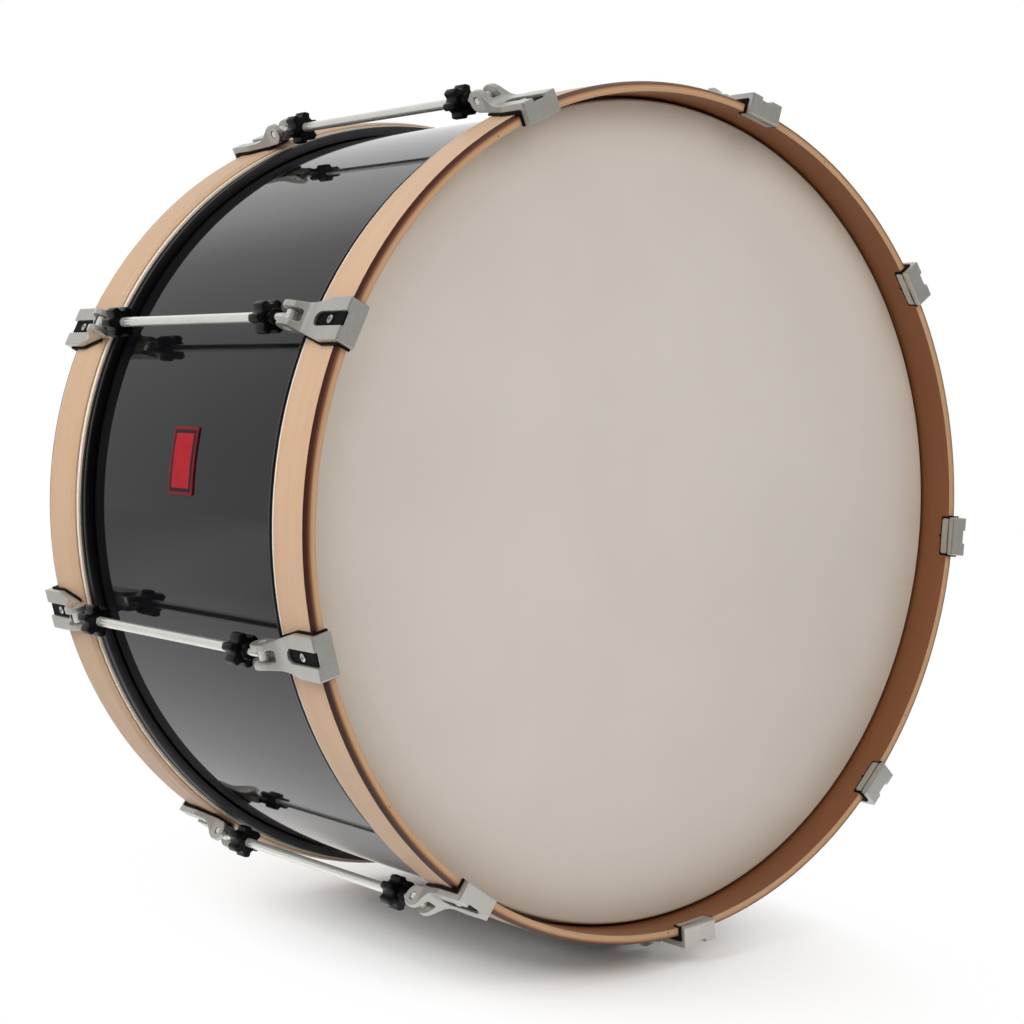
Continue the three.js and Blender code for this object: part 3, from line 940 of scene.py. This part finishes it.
def claw_side():
    """Side view of the metal claw as (depth, radius), anticlockwise from the lip's inner edge."""
    ear_top = ROD_RADIUS + EAR_RADIUS
    saddle = PIN_DEPTH - CLAW_SADDLE_SETBACK
    lip = rounded([(LIP_FRONT, PLATE_TOP, LIP_ROUNDING), (LIP_FRONT, LIP_INNER, LIP_ROUNDING),
                   (LIP_BACK, LIP_INNER, 0), (LIP_BACK, LINER_TOP, 0),
                   (HOOP_WIDTH - LINER_END_SETBACK, LINER_TOP, 0)])
    ear = oval_arc((PIN_DEPTH, ROD_RADIUS), (EAR_RADIUS,) * 2, -90, 90, EAR_STEPS)
    upper = []
    for along, rise in SADDLE_SHARES:
        upper.append((saddle + CLAW_SADDLE_SETBACK * along, PLATE_TOP + (ear_top - PLATE_TOP) * rise))
    return [*lip, *ear, *upper]


def claw_plan():
    """Plan view of the claw as (across, depth)."""
    wide = CLAW_WIDTH / 2
    narrow = EAR_GAP / 2 + EAR_THICKNESS
    tip = PIN_DEPTH + EAR_RADIUS + CUT_OVERRUN
    return rounded([
        (wide, LIP_FRONT, LIP_ROUNDING), (wide, PIN_DEPTH - SHOULDER_SETBACK, SHOULDER_ROUNDING),
        (narrow, PIN_DEPTH - NECK_SETBACK, NECK_ROUNDING), (narrow, tip, 0), (-narrow, tip, 0),
        (-narrow, PIN_DEPTH - NECK_SETBACK, NECK_ROUNDING),
        (-wide, PIN_DEPTH - SHOULDER_SETBACK, SHOULDER_ROUNDING), (-wide, LIP_FRONT, LIP_ROUNDING)])


def window_plan(half, start, end):
    """Slot with a round end towards the ears, as (across, depth)."""
    return [(half, start), *oval_arc((0, end), (half, half), 0, 180, ROUND_SEGMENTS // 2), (-half, start)]


def cast(obj):
    """Modifiers that give sharp cut edges the soft corners of a casting."""
    grain = obj.modifiers.new("grain", "REMESH")
    grain.mode = "VOXEL"
    grain.voxel_size = CAST_GRAIN
    grain.use_smooth_shade = True
    soft = obj.modifiers.new("soft", "SMOOTH")
    soft.iterations = CAST_SMOOTHING
    soft.factor = CAST_PULL
    fewer = obj.modifiers.new("fewer", "DECIMATE")
    fewer.ratio = CAST_SHARE
    flat = obj.modifiers.new("flat", "WEIGHTED_NORMAL")
    flat.keep_sharp = False


def claw_mesh():
    """Metal claw: plate, lip, window, notch, fork and pin hole."""
    low, high = LIP_INNER - CUT_OVERRUN, ROD_RADIUS + EAR_RADIUS + CUT_OVERRUN
    wide = CLAW_WIDTH / 2
    side = prism(claw_side(), -wide - CUT_OVERRUN, wide + CUT_OVERRUN, across)
    plan = prism(claw_plan(), low, high, upward)
    gap = EAR_GAP / 2
    fork_start = PIN_DEPTH - FORK_SETBACK
    fork_end = PIN_DEPTH + EAR_RADIUS + CUT_OVERRUN
    fork = prism(rounded([(gap, fork_start, FORK_ROUNDING), (gap, fork_end, 0), (-gap, fork_end, 0),
                          (-gap, fork_start, FORK_ROUNDING)]), low, high, upward)
    half = WINDOW_WIDTH / 2
    window_start = LIP_FRONT + WINDOW_WALL
    window_end = PIN_DEPTH - WINDOW_END_SETBACK - half
    window = prism(window_plan(half, window_start, window_end), LINER_TOP - CUT_OVERRUN / 2, high, upward)
    notch_start, notch_end = LIP_FRONT - CUT_OVERRUN, window_start + FIT_GAP
    notch = prism([(half, notch_start), (half, notch_end), (-half, notch_end), (-half, notch_start)],
                  PLATE_TOP - NOTCH_DEPTH, high, upward)
    circle = oval_arc((PIN_DEPTH, ROD_RADIUS), (PIN_RADIUS + FIT_GAP,) * 2, 0, 360, ROUND_SEGMENTS)[:-1]
    bore = prism(circle, -wide, wide, across)
    jobs = [("INTERSECT", plan), ("DIFFERENCE", fork), ("DIFFERENCE", window), ("DIFFERENCE", notch),
            ("DIFFERENCE", bore)]
    return carved(side, jobs, cast)


def foot_mesh(low, high, margin, start):
    """Thin foot behind the lip, inside the hoop."""
    wide = CLAW_WIDTH / 2 - FOOT_SIDE + margin
    finish = FOOT_LENGTH + margin
    outline = rounded([
        (wide, start, 0), (wide, finish, FOOT_MARGIN), (-wide, finish, FOOT_MARGIN), (-wide, start, 0)])
    return prism(outline, low, high, upward)


def liner_mesh():
    """Black liner between claw and hoop, with a tongue in the claw's window and a nub inside the hoop."""
    wide = CLAW_WIDTH / 2 + LINER_MARGIN
    low = HOOP_OUTER + FIT_GAP
    end = HOOP_WIDTH - LINER_END_SETBACK
    profile = [(LIP_BACK, LIP_INNER), (-FIT_GAP, LIP_INNER), (-FIT_GAP, low - HOOP_EDGE_ACROSS),
               (HOOP_EDGE_ALONG - FIT_GAP, low), (end, low), (end, LINER_TOP), (LIP_BACK, LINER_TOP)]
    sheet = prism(profile, -wide, wide, across)
    plan = claw_plan()
    grown = prism(inset(plan, -LINER_MARGIN), LIP_INNER - CUT_OVERRUN, PLATE_TOP, upward)
    pad = carved(sheet, [("INTERSECT", grown)])
    half = WINDOW_WIDTH / 2 - TONGUE_GAP
    start = LIP_FRONT + WINDOW_WALL + TONGUE_GAP
    window_end = PIN_DEPTH - WINDOW_END_SETBACK - WINDOW_WIDTH / 2
    tongue = prism(window_plan(half, start, window_end), LINER_TOP - LINER_THICKNESS / 2,
                   PLATE_TOP - WINDOW_DEPTH, upward)
    foot_low = LIP_INNER + FOOT_THICKNESS
    foot = foot_mesh(foot_low, foot_low + FOOT_LINER, FOOT_MARGIN, LIP_BACK)
    circle = oval_arc((0, 0), (NUB_RADIUS, FOOT_LINER / 2), 0, 360, SMALL_SEGMENTS)[:-1]
    nub = prism(circle, FOOT_LENGTH, FOOT_LENGTH + FOOT_MARGIN + NUB_LENGTH,
                lambda a, b, height: (a, height, foot_low + FOOT_LINER / 2 + b))
    return merged(pad, tongue, foot, nub)


def screw_mesh():
    """Round screw head with a cross recess, standing on the liner."""
    outline = [(0, 0), (SCREW_RADIUS, 0), (SCREW_RADIUS, SCREW_HEIGHT - SCREW_CROWN)]
    crown = oval_arc((0, SCREW_HEIGHT - SCREW_CROWN), (SCREW_RADIUS, SCREW_CROWN), 0, 90, CORNER_STEPS)
    outline += crown[1:]
    head = turned(outline, ROUND_SEGMENTS)
    head.transform(Matrix.Rotation(math.pi / 2, 4, "X"))
    long, thin = RECESS_LENGTH / 2, RECESS_WIDTH / 2
    floor, top = SCREW_CROWN / 2, SCREW_HEIGHT + SCREW_CROWN
    bars = []
    for a, b in ((long, thin), (thin, long)):
        bars.append(("DIFFERENCE", prism([(a, b), (-a, b), (-a, -b), (a, -b)], floor, top, upward)))
    mesh = carved(head, bars)
    mesh.transform(Matrix.Translation((0, PIN_DEPTH - SCREW_SETBACK, PLATE_TOP - WINDOW_DEPTH)))
    return mesh


# Star knobs


def knob_outline():
    """Six lobes with rounded tips and valleys, anticlockwise."""
    corners = []
    turn = 2 * math.pi / KNOB_LOBES
    for lobe in range(KNOB_LOBES):
        for along, tip in LOBE_SHARES:
            radius = KNOB_TIP_RADIUS if tip else KNOB_VALLEY_RADIUS
            angle = turn * (lobe + along)
            corners.append((radius * math.cos(angle), radius * math.sin(angle), KNOB_TIP_ROUNDING))
    return rounded(corners, EDGE_STEPS)


def knob_mesh():
    """Star with rounded edges and its hub towards the claw, about the Y axis through its middle."""
    outline = knob_outline()
    half = KNOB_THICKNESS / 2
    edge = oval_arc((KNOB_EDGE, half - KNOB_EDGE), (-KNOB_EDGE, KNOB_EDGE), 0, 90, EDGE_STEPS)
    levels = [(shrink, -height) for shrink, height in reversed(edge)] + edge
    rings = []
    for shrink, height in levels:
        rings.append([(a, height, b) for a, b in inset(outline, shrink)])
    star = loft(rings)
    hub_end = -half - KNOB_HUB_LENGTH
    bore = STUD_RADIUS + FIT_GAP
    hub = turned(rounded([
        (0, 0, 0), (KNOB_HUB_RADIUS, 0, 0), (KNOB_HUB_RADIUS, hub_end, HUB_EDGE), (bore, hub_end, FIT_GAP),
        (bore, hub_end + HUB_EDGE, 0), (0, hub_end + HUB_EDGE, 0)]), ROUND_SEGMENTS)
    return merged(star, hub)


def make_fittings(looks):
    """Claws with liners and screws, and knobs, one set per rod and end."""
    start = LIP_FRONT + LIP_ROUNDING
    foot = foot_mesh(LIP_INNER, LIP_INNER + FOOT_THICKNESS, 0, start)
    claw, liner, screw, knob = claw_mesh(), liner_mesh(), screw_mesh(), knob_mesh()
    knob_at = Matrix.Translation((0, KNOB_DEPTH, ROD_RADIUS))
    for end in ENDS:
        for i in range(ROD_COUNT):
            label = end + "_" + str(i + 1)
            at = carried(end, rod_angle(i))
            claw_name = "claw_" + label
            shown("metal_" + claw_name, claw, at, claw_name, looks["claw"], [claw_name])
            shown("foot_" + claw_name, foot, at, claw_name, looks["claw"])
            shown("liner_" + claw_name, liner, at, claw_name, looks["liner"])
            shown("screw_" + claw_name, screw, at, claw_name, looks["screw"])
            knob_name = "knob_" + label
            shown("star_" + knob_name, knob, at @ knob_at, knob_name, looks["knob"],
                  [knob_name])


# Badge and air vent


def patch_mesh(width, height, corner, low, high, edge):
    """Plate with rounded corners that follows the shell at the top of the drum, between two radii."""
    rows = []
    steps = [math.sin(math.pi / 2 * k / CORNER_STEPS) for k in range(CORNER_STEPS + 1)]
    rise = [height / 2 - corner + corner * step for step in steps]
    inner = [(-1 + 2 * k / BADGE_ROWS) * (height / 2 - corner) for k in range(1, BADGE_ROWS)]
    for place_up in [-value for value in reversed(rise)] + inner + rise:
        past = max(0.0, abs(place_up) - height / 2 + corner)
        half = width / 2 - corner + math.sqrt(max(corner ** 2 - past ** 2, 0.0))
        ring = []
        for y, radius in ((-half, low), (-half, high - edge), (edge - half, high), (half - edge, high),
                          (half, high - edge), (half, low)):
            angle = place_up / high
            ring.append((radius * math.sin(angle), y, radius * math.cos(angle)))
        rows.append(ring)
    return loft(rows)


def make_badge(looks):
    """Plain badge: red rim, black field and a plain red panel, each a thin layer higher."""
    base = SHELL_RADIUS + FIT_GAP / 2
    top = SHELL_RADIUS + FIT_GAP + BADGE_THICKNESS - 2 * BADGE_LAYER
    at = carried("front", BADGE_DEG) @ Matrix.Translation((0, OVERALL_WIDTH / 2, 0))
    layers = (("badge_rim", 0, 0), ("badge_field", BADGE_BORDER, 1), ("badge_panel", BADGE_PANEL_MARGIN, 2))
    for name, margin, level in layers:
        corner = max(BADGE_CORNER - margin, BADGE_CORNER / 3)
        edge = BADGE_EDGE if not level else BADGE_LAYER / 2
        mesh = patch_mesh(BADGE_WIDTH - 2 * margin, BADGE_HEIGHT - 2 * margin, corner, base,
                          top + level * BADGE_LAYER, edge)
        shown(name, mesh, at, "drum", looks[name], ["badge"] if not level else ())


def make_vent(looks):
    """Metal eyelet through the shell."""
    tube = VENT_RADIUS + VENT_WALL
    seat = SHELL_RADIUS + FIT_GAP / 2
    top = seat + VENT_FLANGE_THICKNESS
    ease = VENT_FLANGE_THICKNESS / 2
    inside = SHELL_RADIUS - SHELL_WALL
    outline = rounded([
        (VENT_RADIUS, inside, 0), (tube, inside, 0), (tube, seat, 0), (VENT_FLANGE_RADIUS, seat, 0),
        (VENT_FLANGE_RADIUS - ease, top, ease), (VENT_RADIUS, top, ease)])
    mesh = turned(outline, ROUND_SEGMENTS)
    mesh.transform(Matrix.Rotation(math.pi / 2, 4, "X"))
    at = carried("front", VENT_DEG) @ Matrix.Translation((0, OVERALL_WIDTH / 2, 0))
    shown("air_vent", mesh, at, "drum", looks["eyelet"], ["vent_eyelet"])


# Stage


def make_floor():
    half = FLOOR_SIZE / 2
    corners = [(-half, -half, 0), (half, -half, 0), (half, half, 0), (-half, half, 0)]
    mesh = bpy.data.meshes.new("floor")
    mesh.from_pydata(corners, [], [range(len(corners))])
    mesh.materials.append(floor_look())
    added("floor", mesh)


def make_world():
    """White towards the camera, a level for each direction in mirrors, and dim as light."""
    world = bpy.data.worlds.new("studio")
    bpy.context.scene.world = world
    world.use_nodes = True
    tree = world.node_tree
    tree.nodes.clear()
    way = node(tree, "TexCoord").outputs["Generated"]
    shade = ramp(tree, facing_background(tree, way), WORLD_LEVELS)
    path = node(tree, "LightPath")
    mirrored = maths(tree, "MAXIMUM", path.outputs["Is Glossy Ray"], path.outputs["Is Transmission Ray"])
    dim = maths(tree, "MULTIPLY", maths(tree, "SUBTRACT", 1.0, mirrored), WORLD_DIFFUSE)
    level = maths(tree, "ADD", dim, mirrored)
    lit = node(tree, "Background", {"Color": shade, "Strength": level})
    white = node(tree, "Background", {"Color": (1, 1, 1, 1), "Strength": 1.0})
    mix = node(tree, "MixShader", {0: path.outputs["Is Camera Ray"], 1: lit.outputs[0], 2: white.outputs[0]})
    node(tree, "OutputWorld", {"Surface": mix.outputs[0]})


def make_lamps():
    """Square lamps round the drum, all turned to its middle."""
    middle = Vector((AXIS.x, 0, AXIS.z))
    for name, around, up, power in LAMPS:
        turn, rise = math.radians(around), math.radians(up)
        way = Vector((math.cos(turn) * math.cos(rise), math.sin(turn) * math.cos(rise), math.sin(rise)))
        data = bpy.data.lights.new(name, "AREA")
        data.size = LAMP_SIZE
        data.energy = power
        lamp = added(name, data)
        lamp.location = middle + way * LAMP_DISTANCE
        lamp.rotation_euler = (-way).to_track_quat("-Z", "Y").to_euler()
        lamp.visible_camera = False
        lamp.visible_glossy = False


def make_camera():
    data = bpy.data.cameras.new("camera")
    data.sensor_width = SENSOR_WIDTH
    data.lens = CAMERA_LENS
    camera = added("camera", data)
    right, up = Vector(CAMERA_RIGHT), Vector(CAMERA_UP)
    back = right.cross(up)
    place_at = AXIS + Vector((0, -OVERALL_WIDTH / 2 * MM, 0)) + Vector(CAMERA_OFFSET)
    camera.matrix_world = Matrix.Translation(place_at) @ Matrix((right, up, back)).transposed().to_4x4()
    bpy.context.scene.camera = camera


def dress_frame(looks):
    """Materials of the CAD nodes that stay."""
    for end in ENDS:
        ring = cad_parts["reinforcement_ring_" + end]
        for entry in ring.material_slots:
            entry.material = looks["bare_wood"]


bpy.context.scene.view_settings.view_transform = "Standard"
make_camera()
make_world()
make_lamps()
make_floor()
all_looks = make_looks()
make_rings(all_looks)
make_rods(all_looks)
make_fittings(all_looks)
make_badge(all_looks)
make_vent(all_looks)
dress_frame(all_looks)
